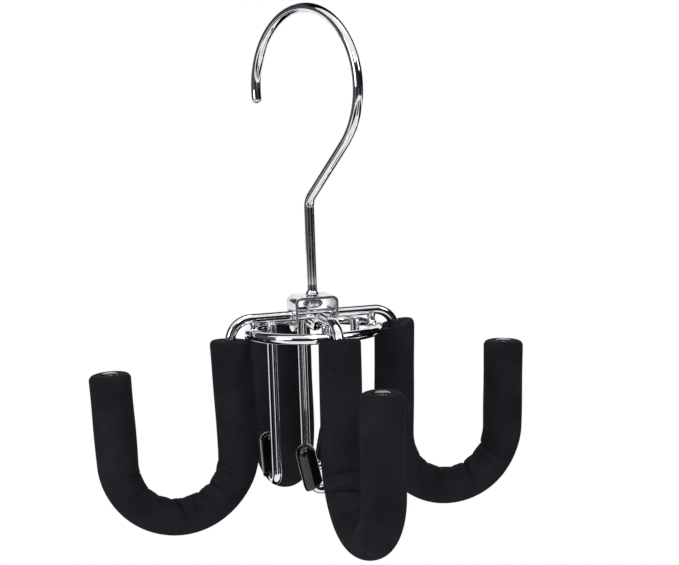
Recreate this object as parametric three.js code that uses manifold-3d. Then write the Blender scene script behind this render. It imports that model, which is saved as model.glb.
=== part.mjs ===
// Swivel belt hanger. A chrome wire hook hangs by its crown and turns in a folded bracket. The
// bracket holds two crossed wires whose four ends are padded hooks. A ring braces the wires, and a
// small capped hook hangs under each arm.
// Millimetres, +Z up. The origin is the seat under the hook's crown, on the swivel axis.
// +X runs along the upper cross wire and +Y along the lower one.
import * as THREE from "three";
import { mergeVertices } from "three/addons/utils/BufferGeometryUtils.js";
import Module from "manifold-3d";

// Shared fit: the gap left between any two pieces that touch
const fitGap = 0.3;
// Overrun of every cutting tool past the wall that it cuts
const cutOverrun = 2;

// Hanging hook
const hookWire = 4.8;
const crownRadius = 36.8;
const kinkDrop = 52;
const kinkRadius = 8;
const stemLength = 44.6;
const crownTipAngle = 190;
const hookTurnAngle = -66.5;
const headDiameter = 9.6;
const headShoulder = 6.6;
const headHeight = 4.7;
const headDome = 2.6;
const collarDiameter = 6.3;
const collarHeight = 1.8;

// Folded bracket
const bracketSheet = 1.4;
const bracketWidth = 21;
const bracketDepth = 15;
const bracketCornerRadius = 2.9;

// Cross wires and their padded ends
const armWire = 4.8;
const innerLegReach = 40.5;
const armBendRadius = 10;
const saddleBendRadius = 8;
const saddleFlat = 6;
const padDiameter = 19.4;
const padEndRound = 2.6;
const padTopAngle = 84;
const padLeanAngle = 2;
const padBendRadius = 28.5;
const innerLeg = 50.3;
const outerLeg = 42.4;

// Bracing ring
const ringWire = 5;
const ringDrop = 7.2;
const weldDiameter = 3.4;

// Small hooks
const smallWire = 4.4;
const smallInset = 10;
const smallDrop = 79;
const smallBendRadius = 4.5;
const smallFlareAngle = 12;
const smallTipRise = 18.8;

// Vinyl caps
const smallCapWall = 2.1;
const padCapWall = 1.2;
const capCrown = 1.8;
const smallCapLength = 20.5;
const padCapLength = 12;
const padCapProud = 0.6;

// Facets
const hookSides = 12;
const armSides = 8;
const padSides = 12;
const capSides = 10;
const ringSides = 8;
const ringSteps = 40;
const weldSides = 10;
const holeSides = 20;
const cornerSteps = 3;
const domeSteps = 3;
const bendStep = 12;
const tightBendStep = 18;
const crownBendStep = 10;

const wasm = await Module();
wasm.setup();

const chrome = new THREE.MeshStandardMaterial({ color: 0xc9ccd1, roughness: 0.08, metalness: 1 });
const plated = new THREE.MeshStandardMaterial({ color: 0xd3d4d4, roughness: 0.22, metalness: 1 });
const foam = new THREE.MeshStandardMaterial({ color: 0x1d1e21, roughness: 0.9, metalness: 0 });
const vinyl = new THREE.MeshStandardMaterial({ color: 0x0b0b0c, roughness: 0.12, metalness: 0 });

// Heights that follow from the sizes above
const crownZ = hookWire / 2 - crownRadius;
const kinkZ = crownZ - kinkDrop;
const plateTopZ = kinkZ - stemLength;
const plateUnderZ = plateTopZ - bracketSheet;
const headTopZ = plateUnderZ - fitGap;
const headLowZ = headTopZ - headHeight;
const upperWireZ = headLowZ - fitGap - armWire / 2;
const ringZ = upperWireZ - ringDrop;
const saddleDip = armWire + fitGap;
const ringRadius = innerLegReach - armBendRadius;
const smallReach = ringRadius - smallInset;

const rad = THREE.MathUtils.degToRad;

// Pieces of a bent wire: a straight run, and a bend that turns left when its angle is positive
const straight = (length) => ({ length, radius: 0, turn: 0, steps: 1 });
const bend = (radius, degrees, step) => ({
  length: radius * Math.abs(rad(degrees)),
  radius,
  turn: Math.sign(degrees),
  steps: Math.max(1, Math.round(Math.abs(degrees) / step)),
});

// Place and heading after some way along one piece
function advance(piece, along) {
  if (piece.turn === 0) {
    return {
      u: piece.u + along * Math.cos(piece.heading),
      v: piece.v + along * Math.sin(piece.heading),
      heading: piece.heading,
    };
  }
  const heading = piece.heading + (piece.turn * along) / piece.radius;
  const side = piece.turn * piece.radius;
  return {
    u: piece.u + side * (Math.sin(heading) - Math.sin(piece.heading)),
    v: piece.v - side * (Math.cos(heading) - Math.cos(piece.heading)),
    heading,
  };
}

// Lays pieces end to end in the XZ plane, from a start place and heading in degrees
function layPath(u, v, degrees, pieces) {
  const laid = [];
  let state = { u, v, heading: rad(degrees) };
  let reached = 0;
  for (const piece of pieces) {
    const placed = { ...piece, ...state, from: reached };
    laid.push(placed);
    state = advance(placed, piece.length);
    reached += piece.length;
  }
  return { laid, length: reached };
}

function pointAt(path, s) {
  const piece = path.laid.findLast((one) => one.from <= s) ?? path.laid[0];
  return advance(piece, s - piece.from);
}

// Distances along the path, between two limits, at which a section is needed
function sectionsBetween(path, from, to) {
  const tolerance = (to - from) / 1e4;
  const isBetween = (s) => s > from + tolerance && s < to - tolerance;
  const stationsOf = (piece) =>
    Array.from({ length: piece.steps }, (_, k) => piece.from + (piece.length * k) / piece.steps);
  return [from, ...path.laid.flatMap(stationsOf).filter(isBetween), to];
}

// Quarter-ellipse of outline points from a full radius to a point on the path
function dome(s, radius, height, steps = domeSteps) {
  return Array.from({ length: steps }, (_, k) => {
    const angle = ((k + 1) / steps) * (Math.PI / 2);
    return [s + height * Math.sin(angle), k + 1 === steps ? 0 : radius * Math.cos(angle)];
  });
}

const run = (sections, radius) => sections.map((s) => [s, radius]);

// Carries an outline of [distance, radius] points round a path. An outline that starts and ends on
// the path closes there, and any other closes on itself. A radius of 0 makes a single point.
function sweep(path, outline, sides) {
  const points = [];
  const rings = outline.map(([s, radius]) => {
    const { u, v, heading } = pointAt(path, s);
    const count = radius === 0 ? 1 : sides;
    const first = points.length / 3;
    for (let k = 0; k < count; k += 1) {
      const angle = ((k + 0.5) * 2 * Math.PI) / sides;
      const across = radius * Math.cos(angle);
      const x = u - across * Math.sin(heading);
      const z = v + across * Math.cos(heading);
      points.push(x, radius * Math.sin(angle), z);
    }
    return { first, count };
  });
  const faces = [];
  const joinRings = (a, b) => {
    for (let k = 0; k < sides; k += 1) {
      const next = (k + 1) % sides;
      const [a0, a1] = a.count === 1 ? [a.first, a.first] : [a.first + k, a.first + next];
      const [b0, b1] = b.count === 1 ? [b.first, b.first] : [b.first + k, b.first + next];
      if (a0 !== a1) {
        faces.push(a0, a1, b0);
      }
      if (b0 !== b1) {
        faces.push(a1, b1, b0);
      }
    }
  };
  rings.slice(1).forEach((ring, k) => joinRings(rings[k], ring));
  if (rings[0].count > 1) {
    joinRings(rings.at(-1), rings[0]);
  }
  const geometry = new THREE.BufferGeometry();
  geometry.setAttribute("position", new THREE.Float32BufferAttribute(points, 3));
  geometry.setIndex(faces);
  return faceOutwards(geometry);
}

// Signed volume of a closed mesh, which is negative when its faces point in
function signedVolume(geometry) {
  const position = geometry.getAttribute("position");
  const index = geometry.getIndex();
  const [a, b, c] = [new THREE.Vector3(), new THREE.Vector3(), new THREE.Vector3()];
  let total = 0;
  for (let k = 0; k < index.count; k += 3) {
    a.fromBufferAttribute(position, index.getX(k));
    b.fromBufferAttribute(position, index.getX(k + 1));
    c.fromBufferAttribute(position, index.getX(k + 2));
    total += a.dot(b.cross(c)) / 6;
  }
  return total;
}

function faceOutwards(geometry) {
  if (signedVolume(geometry) < 0) {
    const index = geometry.getIndex();
    for (let k = 0; k < index.count; k += 3) {
      const second = index.getX(k + 1);
      index.setX(k + 1, index.getX(k + 2));
      index.setX(k + 2, second);
    }
  }
  geometry.computeVertexNormals();
  return geometry;
}

// A closed mesh as a solid for joining and cutting
function toSolid(geometry) {
  const bare = geometry.clone();
  bare.deleteAttribute("normal");
  bare.deleteAttribute("uv");
  const merged = mergeVertices(bare);
  return new wasm.Manifold(
    new wasm.Mesh({
      numProp: 3,
      vertProperties: new Float32Array(merged.getAttribute("position").array),
      triVerts: new Uint32Array(merged.getIndex().array),
    }),
  );
}

function toGeometry(solid) {
  const mesh = solid.getMesh();
  const geometry = new THREE.BufferGeometry();
  geometry.setAttribute("position", new THREE.Float32BufferAttribute(mesh.vertProperties, 3));
  geometry.setIndex(Array.from(mesh.triVerts));
  geometry.computeVertexNormals();
  return geometry;
}

const hanger = new THREE.Group();

function addPiece(name, geometry, material, degrees = 0) {
  const mesh = new THREE.Mesh(geometry, material);
  mesh.name = name;
  mesh.rotation.z = rad(degrees);
  hanger.add(mesh);
  return mesh;
}

// Hanging hook: headed stem, kink and round crown, bent from one wire
function hangingHook() {
  const lean = (Math.asin(crownRadius / kinkDrop) * 180) / Math.PI;
  const kinkTangent = kinkRadius * Math.tan(rad(lean / 2));
  const slope = Math.sqrt(kinkDrop ** 2 - crownRadius ** 2);
  const stemRun = kinkZ - kinkTangent - headLowZ;
  const path = layPath(0, headLowZ, 90, [
    straight(stemRun),
    bend(kinkRadius, -lean, tightBendStep),
    straight(slope - kinkTangent),
    bend(crownRadius, lean + crownTipAngle, crownBendStep),
  ]);
  const wireRadius = hookWire / 2;
  const headRadius = headDiameter / 2;
  const collarRadius = collarDiameter / 2;
  const collarLow = plateTopZ + fitGap - headLowZ;
  const outline = [
    ...dome(headDome, headRadius, -headDome).reverse(),
    [headDome, headRadius],
    [headHeight, headShoulder / 2],
    [headHeight, wireRadius],
    [collarLow, wireRadius],
    [collarLow, collarRadius],
    [collarLow + collarHeight / 2, collarRadius],
    [collarLow + collarHeight, wireRadius],
    ...run(sectionsBetween(path, stemRun, path.length - wireRadius), wireRadius),
    ...dome(path.length - wireRadius, wireRadius, wireRadius),
  ];
  return sweep(path, outline, hookSides);
}

// Front view of the bracket: a plate and two flanks, with both folds round outside and inside
function bracketSection() {
  const half = bracketWidth / 2;
  const inner = half - bracketSheet;
  const low = upperWireZ - bracketDepth / 2;
  const foldX = half - bracketCornerRadius;
  const foldZ = plateTopZ - bracketCornerRadius;
  const innerRadius = bracketCornerRadius - bracketSheet;
  const shape = new THREE.Shape();
  shape.moveTo(-half, low);
  shape.lineTo(-half, foldZ);
  shape.absarc(-foldX, foldZ, bracketCornerRadius, Math.PI, Math.PI / 2, true);
  shape.lineTo(foldX, plateTopZ);
  shape.absarc(foldX, foldZ, bracketCornerRadius, Math.PI / 2, 0, true);
  shape.lineTo(half, low);
  shape.lineTo(inner, low);
  shape.absarc(foldX, foldZ, innerRadius, 0, Math.PI / 2, false);
  shape.absarc(-foldX, foldZ, innerRadius, Math.PI / 2, Math.PI, false);
  shape.lineTo(-inner, low);
  shape.closePath();
  return shape;
}

// Side view of the bracket: straight flanks that end in a half round about the upper wire
function bracketFlank() {
  const half = bracketDepth / 2;
  const shape = new THREE.Shape();
  shape.moveTo(half, plateTopZ + cutOverrun);
  shape.lineTo(-half, plateTopZ + cutOverrun);
  shape.lineTo(-half, upperWireZ);
  shape.absarc(0, upperWireZ, half, Math.PI, 2 * Math.PI, false);
  shape.closePath();
  return shape;
}

// Folded bracket with a hole for the stem and one in each flank for the upper wire
function swivelBracket() {
  const fold = new THREE.ExtrudeGeometry(bracketSection(), {
    depth: bracketDepth,
    bevelEnabled: false,
    curveSegments: cornerSteps,
  });
  fold.rotateX(Math.PI / 2).translate(0, bracketDepth / 2, 0);
  const flankLength = bracketWidth + 2 * cutOverrun;
  const flank = new THREE.ExtrudeGeometry(bracketFlank(), {
    depth: flankLength,
    bevelEnabled: false,
    curveSegments: holeSides / 2,
  });
  flank.rotateX(Math.PI / 2).rotateZ(Math.PI / 2).translate(-flankLength / 2, 0, 0);
  const stemBore = hookWire / 2 + fitGap;
  const stemCut = bracketSheet + 2 * cutOverrun;
  const stemHole = new THREE.CylinderGeometry(stemBore, stemBore, stemCut, holeSides);
  stemHole.rotateX(Math.PI / 2).translate(0, 0, plateTopZ - bracketSheet / 2);
  const wireBore = armWire / 2 + fitGap;
  const wireHole = new THREE.CylinderGeometry(wireBore, wireBore, flankLength, holeSides);
  wireHole.rotateZ(Math.PI / 2).translate(0, 0, upperWireZ);
  const saddle = toSolid(fold).intersect(toSolid(flank));
  return toGeometry(saddle.subtract(toSolid(stemHole)).subtract(toSolid(wireHole)));
}

const wireTipSetback = capCrown + fitGap - padCapProud;

// One end of a cross wire, from the top of its bend down and round the padded hook
const armEnd = (tipLeg) => [
  bend(armBendRadius, -90 - padLeanAngle, tightBendStep),
  straight(innerLeg),
  bend(padBendRadius, 180, bendStep),
  straight(tipLeg),
];
const armPath = (tipLeg) => layPath(ringRadius, upperWireZ, 0, armEnd(tipLeg));
const wireTipLeg = outerLeg - wireTipSetback;

// A whole cross wire: the pieces that cross under the bracket lie between two padded ends
function crossWire(bridge) {
  const arm = armPath(wireTipLeg);
  const tip = pointAt(arm, arm.length);
  const ends = armEnd(wireTipLeg);
  const pieces = [...ends.toReversed(), ...bridge, ...ends];
  const path = layPath(-tip.u, tip.v, padLeanAngle - 90, pieces);
  const radius = armWire / 2;
  const sections = sectionsBetween(path, 0, path.length);
  return sweep(path, [[0, 0], ...run(sections, radius), [path.length, 0]], armSides);
}

const bridgeSpan = 2 * ringRadius;
const upperBridge = [straight(bridgeSpan)];

// The lower wire dips under the upper one in a saddle of four equal bends
const saddleAngle = (Math.acos(1 - saddleDip / (2 * saddleBendRadius)) * 180) / Math.PI;
const saddleSlope = 2 * saddleBendRadius * Math.sin(rad(saddleAngle));
const saddleApproach = (bridgeSpan - saddleFlat) / 2 - saddleSlope;
const lowerBridge = [
  straight(saddleApproach),
  bend(saddleBendRadius, -saddleAngle, tightBendStep),
  bend(saddleBendRadius, saddleAngle, tightBendStep),
  straight(saddleFlat),
  bend(saddleBendRadius, saddleAngle, tightBendStep),
  bend(saddleBendRadius, -saddleAngle, tightBendStep),
  straight(saddleApproach),
];

// Foam sleeve on one padded hook, bored for the wire and, at the tip, for the cap
function foamSleeve() {
  const path = armPath(outerLeg);
  const start = armBendRadius * rad(padTopAngle);
  const radius = padDiameter / 2;
  const bore = armWire / 2 + fitGap;
  const capBore = bore + padCapWall + fitGap;
  const capSeat = path.length - padCapLength - fitGap;
  const corner = dome(0, padEndRound, padEndRound).slice(0, -1);
  const rim = radius - padEndRound;
  const outer = [
    [start, rim],
    ...corner.toReversed().map(([s, r]) => [start + padEndRound - s, rim + r]),
    ...run(sectionsBetween(path, start + padEndRound, path.length - padEndRound), radius),
    ...corner.map(([s, r]) => [path.length - padEndRound + s, rim + r]),
    [path.length, rim],
  ];
  const inner = [
    [path.length, capBore],
    [capSeat, capBore],
    ...run(sectionsBetween(path, start, capSeat), bore).reverse(),
  ];
  return sweep(path, [...outer, ...inner], padSides);
}

// Vinyl cap pushed over the last stretch of a wire: a domed crown and a bore that stops short of it
function wireCap(path, wireDiameter, wireEnd, capLength, wall) {
  const bore = wireDiameter / 2 + fitGap;
  const radius = bore + wall;
  const crownEnd = wireEnd + fitGap + capCrown;
  const domeStart = crownEnd - radius;
  const mouth = crownEnd - capLength;
  const boreEnd = wireEnd + fitGap;
  const outline = [
    [boreEnd, 0],
    ...run(sectionsBetween(path, mouth, boreEnd), bore).reverse(),
    ...run(sectionsBetween(path, mouth, domeStart), radius),
    ...dome(domeStart, radius, radius),
  ];
  return sweep(path, outline, capSides);
}

// Cap on a padded hook's wire, inside the foam and just proud of its end
function padCap() {
  const path = armPath(outerLeg + padCapProud);
  const wireEnd = path.length - capCrown - fitGap;
  return wireCap(path, armWire, wireEnd, padCapLength, padCapWall);
}

// Small hook: shank, tight return bend and flared tip, in a plane square to its arm
const smallShank = smallDrop - smallBendRadius - armWire / 2 - fitGap;
const smallTopZ = upperWireZ - armWire / 2 - fitGap;
const smallTip = smallTipRise - capCrown - fitGap;
const smallPieces = (tip) => [
  straight(smallShank),
  bend(smallBendRadius, 180 - smallFlareAngle, bendStep),
  straight(tip),
];

function smallHook() {
  const path = layPath(0, smallTopZ, -90, smallPieces(smallTip));
  const radius = smallWire / 2;
  const sections = sectionsBetween(path, 0, path.length);
  return sweep(path, [[0, 0], ...run(sections, radius), [path.length, 0]], armSides);
}

function smallCap() {
  const path = layPath(0, smallTopZ, -90, smallPieces(smallTipRise));
  const wireEnd = path.length - capCrown - fitGap;
  return wireCap(path, smallWire, wireEnd, smallCapLength, smallCapWall);
}

// Bracing ring with a weld bead up to each arm
function braceRing(armAngles) {
  const ring = new THREE.TorusGeometry(ringRadius, ringWire / 2, ringSides, ringSteps);
  ring.translate(0, 0, ringZ);
  const beadTop = upperWireZ - armWire / 2 - fitGap;
  const beadHeight = beadTop - ringZ;
  const beadRadius = weldDiameter / 2;
  const beadReach = ringRadius - beadRadius;
  const beads = armAngles.map((degrees) => {
    const bead = new THREE.CylinderGeometry(beadRadius, beadRadius, beadHeight, weldSides);
    bead.rotateX(Math.PI / 2).translate(beadReach, 0, ringZ + beadHeight / 2);
    bead.rotateZ(rad(degrees));
    return toSolid(bead);
  });
  return toGeometry(beads.reduce((solid, bead) => solid.add(bead), toSolid(ring)));
}

const arms = [
  { side: "right", degrees: 0 },
  { side: "rear", degrees: 90 },
  { side: "left", degrees: 180 },
  { side: "front", degrees: 270 },
];

addPiece("hanging_hook", hangingHook(), chrome, hookTurnAngle);
addPiece("swivel_bracket", swivelBracket(), plated);
addPiece("upper_cross_wire", crossWire(upperBridge), chrome);
addPiece("lower_cross_wire", crossWire(lowerBridge), chrome, 90);
addPiece("brace_ring", braceRing(arms.map((arm) => arm.degrees)), chrome);
for (const { side, degrees } of arms) {
  addPiece(`foam_sleeve_${side}`, foamSleeve(), foam, degrees);
  addPiece(`padded_hook_cap_${side}`, padCap(), vinyl, degrees);
  const facing = degrees - 90;
  const pieces = [
    addPiece(`small_hook_${side}`, smallHook(), chrome, facing),
    addPiece(`small_hook_cap_${side}`, smallCap(), vinyl, facing),
  ];
  for (const piece of pieces) {
    piece.position.set(smallReach * Math.cos(rad(degrees)), smallReach * Math.sin(rad(degrees)), 0);
  }
}

export default hanger;
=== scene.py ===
import logging
import math
from dataclasses import dataclass, field
from enum import Enum

import bpy
import numpy as np
from mathutils import Matrix, Vector


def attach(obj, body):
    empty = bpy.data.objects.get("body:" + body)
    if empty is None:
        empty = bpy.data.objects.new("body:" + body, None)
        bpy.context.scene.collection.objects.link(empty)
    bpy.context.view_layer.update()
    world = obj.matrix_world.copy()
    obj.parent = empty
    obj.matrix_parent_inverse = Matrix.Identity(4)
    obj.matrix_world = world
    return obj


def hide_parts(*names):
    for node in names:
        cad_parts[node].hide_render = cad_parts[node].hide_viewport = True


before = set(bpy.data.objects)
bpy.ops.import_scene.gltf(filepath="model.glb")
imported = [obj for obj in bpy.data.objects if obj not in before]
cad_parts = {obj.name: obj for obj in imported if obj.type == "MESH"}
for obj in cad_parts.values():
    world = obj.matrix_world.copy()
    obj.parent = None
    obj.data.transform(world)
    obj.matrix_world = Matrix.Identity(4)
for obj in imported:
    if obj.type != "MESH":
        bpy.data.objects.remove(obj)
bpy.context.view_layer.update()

# Lengths are in millimetres and angles in degrees until a mesh is made. The frame is the solids' own: +Z up,
# origin at the seat under the crown, on the swivel axis, +X along the right arm, +Y along the rear arm.
# "Pairs" are a length along a line and the radius of the piece there, one pair for each row of its skin. The
# rows of a merged profile lie CLOSEST_ROWS apart or more, and a bore's floor closes at radius FLOOR_CENTRE.
METRES = 0.001
CLOSEST_ROWS = 0.05
FLOOR_CENTRE = 0.02
Triple = tuple[float, float, float]
Colour = Triple
Span = tuple[float, float]
Pairs = tuple[Span, ...]
Piece = bpy.types.Object
Socket = bpy.types.NodeSocket
log = logging.getLogger("belt_hanger")


class Body(Enum):
    """The two rigid bodies of the frame that a piece may ride on."""

    HOOK = "hook"
    SPIDER = "spider"


class Slot(Enum):
    """The material slots of the record."""

    CHROME = "chrome_wire"
    SHEET = "plated_sheet"
    FOAM = "foam"
    VINYL = "vinyl"


class Side(Enum):
    """The four arms, each with its direction about the swivel axis in degrees."""

    RIGHT = 0.0
    REAR = 90.0
    LEFT = 180.0
    FRONT = 270.0

    @property
    def label(self) -> str:
        """The word that the node names end in."""
        return self.name.lower()


class Ends(Enum):
    """How the rows of a skin close: each end on a point, or the last row on the first."""

    POINTS = "points"
    LOOP = "loop"


@dataclass(frozen=True)
class Plane:
    """A flat sheet of paper in space: a point is origin + x * across + y * up."""

    across: Triple
    up: Triple = (0.0, 0.0, 1.0)
    origin: Triple = (0.0, 0.0, 0.0)

    @classmethod
    def upright(cls, angle: float, reach: float = 0.0, facing: float | None = None) -> "Plane":
        """An upright plane.

        Args:
            angle: Direction of the arm about the swivel axis, in degrees.
            reach: How far out along the arm its origin lies.
            facing: Direction that x runs in, in degrees, where it isn't the arm's.

        Returns:
            The plane, with y straight up.
        """
        out = math.radians(angle)
        along = math.radians(angle if facing is None else facing)
        across = (math.cos(along), math.sin(along), 0.0)
        return cls(across, origin=(reach * math.cos(out), reach * math.sin(out), 0.0))

    def place(self, flat: np.ndarray, beside: np.ndarray) -> np.ndarray:
        """Puts flat points into space.

        Args:
            flat: x and y in the plane, in the last axis.
            beside: Distance out of the plane, with one axis less.

        Returns:
            Points in the solids' frame.
        """
        across, up = np.array(self.across), np.array(self.up)
        in_plane = np.array(self.origin) + flat[..., :1] * across + flat[..., 1:] * up
        return in_plane + beside[..., None] * np.cross(across, up)


@dataclass
class CentreLine:
    """A flat line of straights and round bends. Its heading grows by curvature times length in each."""

    start: Span
    heading: float
    lengths: list[float] = field(default_factory=list)
    curvatures: list[float] = field(default_factory=list)

    def add(self, length: float, curvature: float) -> "CentreLine":
        """Adds a piece of line.

        Args:
            length: Its length.
            curvature: 1 / radius, positive where it turns to the left, 0 for a straight.

        Returns:
            The line itself.
        """
        self.lengths.append(length)
        self.curvatures.append(curvature)
        return self

    def straight(self, length: float) -> "CentreLine":
        """Adds a straight of a length, and returns the line."""
        return self.add(length, 0.0)

    def bend(self, radius: float, angle: float) -> "CentreLine":
        """Adds a bend through an angle in degrees, to the left where it is positive, and returns the line."""
        return self.add(abs(math.radians(angle)) * radius, math.copysign(1.0 / radius, angle))

    @property
    def total(self) -> float:
        """The length of the whole line."""
        return float(sum(self.lengths))

    @staticmethod
    def travel(heading: np.ndarray, curvature: np.ndarray, along: np.ndarray) -> np.ndarray:
        """Way covered from a point with heading h, over a length t at curvature k.

        On a bend it is (sin(h + k t) - sin h, cos h - cos(h + k t)) / k, on a straight t (cos h, sin h).

        Args:
            heading: Heading h at the point, in radians.
            curvature: Curvature k, 0 on a straight.
            along: Length t covered.

        Returns:
            The way as x and y in the last axis.
        """
        bent = np.where(curvature == 0.0, 1.0, curvature)
        turned = heading + curvature * along
        arc = np.stack([np.sin(turned) - np.sin(heading), np.cos(heading) - np.cos(turned)], -1)
        line = np.stack([np.cos(heading), np.sin(heading)], -1) * along[..., None]
        return np.where((curvature == 0.0)[..., None], line, arc / bent[..., None])

    def at(self, s: np.ndarray) -> tuple[np.ndarray, np.ndarray]:
        """Points and headings of the line.

        Args:
            s: Lengths along the line.

        Returns:
            The points, and the headings in radians.
        """
        lengths, curvatures = np.array(self.lengths), np.array(self.curvatures)
        ends = np.cumsum(lengths)
        headings = math.radians(self.heading) + np.concatenate([[0.0], np.cumsum(lengths * curvatures)[:-1]])
        steps = self.travel(headings, curvatures, lengths)
        origins = np.array(self.start) + np.concatenate([np.zeros((1, 2)), np.cumsum(steps, 0)[:-1]])
        piece = np.clip(np.searchsorted(ends, s, side="left"), 0, len(ends) - 1)
        along = s - (ends - lengths)[piece]
        points = origins[piece] + self.travel(headings[piece], curvatures[piece], along)
        return points, headings[piece] + curvatures[piece] * along

    def beside(self, s: np.ndarray, left: np.ndarray) -> np.ndarray:
        """Flat points beside the line: centre + distance * (-sin h, cos h) for the heading h.

        Args:
            s: Length along the line for each row.
            left: Distances to the left of it, as rows by sides.

        Returns:
            The points as rows by sides by 2.
        """
        centres, headings = self.at(s)
        to_left = np.stack([-np.sin(headings), np.cos(headings)], -1)
        return centres[:, None, :] + left[..., None] * to_left[:, None, :]

    def stations(self, step: float, turn: float) -> np.ndarray:
        """Lengths along the line at which it is cut into rows.

        Args:
            step: Longest step on a straight.
            turn: Largest turn of one step on a bend, in degrees.

        Returns:
            The lengths, from 0 to the total, with a row at every joint of the line.
        """
        marks = [np.zeros(1)]
        reached = 0.0
        for length, curvature in zip(self.lengths, self.curvatures):
            wanted = length / step if curvature == 0.0 else math.degrees(abs(length * curvature)) / turn
            count = max(1, math.ceil(wanted))
            marks.append(reached + length * np.arange(1, count + 1) / count)
            reached += length
        return np.concatenate(marks)


def around(sides: int) -> np.ndarray:
    """Angles of the corners of a round section, in radians."""
    return np.linspace(0.0, 2.0 * np.pi, sides, endpoint=False)


def quarter(count: int) -> np.ndarray:
    """Angles of a quarter turn with both its ends, in radians."""
    return np.linspace(0.0, np.pi / 2.0, count)


def merged_profile(body: np.ndarray, radius: float, first: np.ndarray, last: np.ndarray) -> np.ndarray:
    """Joins the first and the last pairs by rows of one radius, at those of the body's lengths between them."""
    inside = body[(body > first[-1, 0] + CLOSEST_ROWS) & (body < last[0, 0] - CLOSEST_ROWS)]
    return np.concatenate([first, np.stack([inside, np.full_like(inside, radius)], -1), last])


def rounded_start(radius: float, length: float, steps: int = 8) -> np.ndarray:
    """Pairs of a round tip, a quarter of an ellipse: s = length (1 - cos a), r = radius sin a."""
    a = quarter(steps + 1)
    return np.stack([length * (1.0 - np.cos(a)), radius * np.sin(a)], -1)


def rounded_end(total: float, radius: float, length: float, steps: int = 8) -> np.ndarray:
    """Pairs that close a line of a total length as rounded_start opens one."""
    pairs = rounded_start(radius, length, steps)[::-1]
    return np.stack([total - pairs[:, 0], pairs[:, 1]], -1)


def rounded_rim(at: float, inward: float, radius: float, count: int = 8) -> np.ndarray:
    """Pairs from a tube's rim inwards: s = at + inward (1 - cos a), r = radius - |inward| (1 - sin a)."""
    a = quarter(count)
    return np.stack([at + inward * (1.0 - np.cos(a)), radius - abs(inward) * (1.0 - np.sin(a))], -1)


def bore_floor(at: float, radius: float, rounding: float) -> list[Span]:
    """Pairs of the floor of a blind bore, from its middle to the start of its wall."""
    return [(at, FLOOR_CENTRE), (at, radius - rounding), (at - rounding, radius)]


def carried_round(
    line: CentreLine, plane: Plane, s: np.ndarray, radii: np.ndarray, sides: int
) -> np.ndarray:
    """A round section carried along a line: r cos t to the line's left and r sin t out of the plane.

    Args:
        line: The line.
        plane: Where it lies.
        s: Length along the line for each row.
        radii: Radius for each row, or for each row and side.
        sides: Number of sides.

    Returns:
        Points as rows by sides by 3, in millimetres.
    """
    t = around(sides)
    r = radii[:, None] if radii.ndim == 1 else radii
    return plane.place(line.beside(s, r * np.cos(t)), r * np.sin(t))


def skin_faces(rows: int, sides: int, ends: Ends) -> list[tuple[int, ...]]:
    """Faces of a grid whose sides close on themselves, outward where the sides run round the line to the left.

    Args:
        rows: Number of rows.
        sides: Points in a row.
        ends: How the rows close.

    Returns:
        Corner numbers of each face.
    """
    i = np.arange(rows if ends is Ends.LOOP else rows - 1)[:, None]
    j = np.arange(sides)[None, :]
    across = (j + 1) % sides
    below = (i + 1) % rows
    quads = [i * sides + j, i * sides + across, below * sides + across, below * sides + j]
    faces = np.stack(quads, -1).reshape(-1, 4).tolist()
    if ends is Ends.POINTS:
        first, final, high = rows * sides, rows * sides + 1, (rows - 1) * sides
        k = np.arange(sides)
        after = (k + 1) % sides
        faces += np.stack([np.full(sides, first), after, k], -1).tolist()
        faces += np.stack([np.full(sides, final), high + k, high + after], -1).tolist()
    return faces


def skin(name: str, grid: np.ndarray, ends: Ends) -> Piece:
    """Makes a smooth mesh object of a grid of points. An end that closes on a point has it at its row's middle.

    Args:
        name: Name of the piece.
        grid: Points as rows by sides by 3, in millimetres.
        ends: How the rows close.

    Returns:
        The object, at the origin.
    """
    rows, sides = grid.shape[:2]
    points = grid.reshape(-1, 3)
    if ends is Ends.POINTS:
        points = np.concatenate([points, grid[:1].mean(1), grid[-1:].mean(1)])
    mesh = bpy.data.meshes.new(name)
    mesh.from_pydata((points * METRES).tolist(), [], skin_faces(rows, sides, ends))
    mesh.polygons.foreach_set("use_smooth", np.ones(len(mesh.polygons), bool))
    mesh.update()
    piece = bpy.data.objects.new(name, mesh)
    bpy.context.scene.collection.objects.link(piece)
    return piece


def swept(name: str, line: CentreLine, plane: Plane, pairs: np.ndarray, sides: int) -> Piece:
    """Makes a closed piece: a round section carried along a line in a plane, with its radius by the pairs."""
    return skin(name, carried_round(line, plane, pairs[:, 0], pairs[:, 1], sides), Ends.POINTS)


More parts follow.
